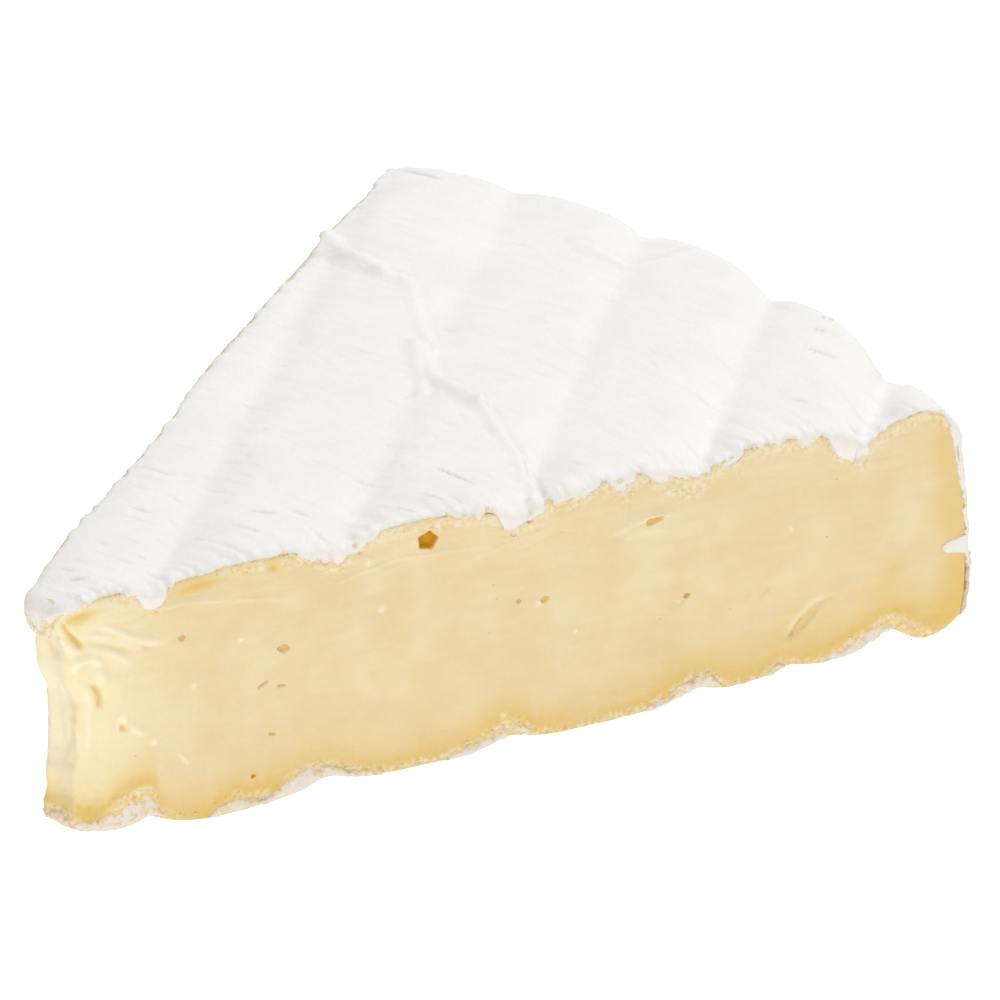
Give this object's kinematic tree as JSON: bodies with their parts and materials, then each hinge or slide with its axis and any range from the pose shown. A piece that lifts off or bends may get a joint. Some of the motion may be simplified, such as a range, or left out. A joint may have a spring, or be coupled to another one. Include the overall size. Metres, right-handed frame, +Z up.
{
  "type": "cheese wedge",
  "caption": "Wedge of camembert cut from a large wheel: white rind above, below and round the rim, creamy yellow paste on both cuts.",
  "frame": {"origin": "on the surface that the wedge stands on, at the middle of its footprint's box", "axes": "+X from the cut tip along the wedge's middle line to the wheel's rim, +Z up; the cut face that the picture shows is on the -Y side"},
  "size_m": [0.121, 0.0986, 0.0345],
  "materials": {
    "rind": "white mould rind, matt and slightly downy, furrowed by the rack it ripened on",
    "paste": "soft creamy pale yellow paste with a satin, slightly moist sheen"
  },
  "bodies": {
    "root": {"camembert_wedge": "rind"}
  },
  "joints": []
}
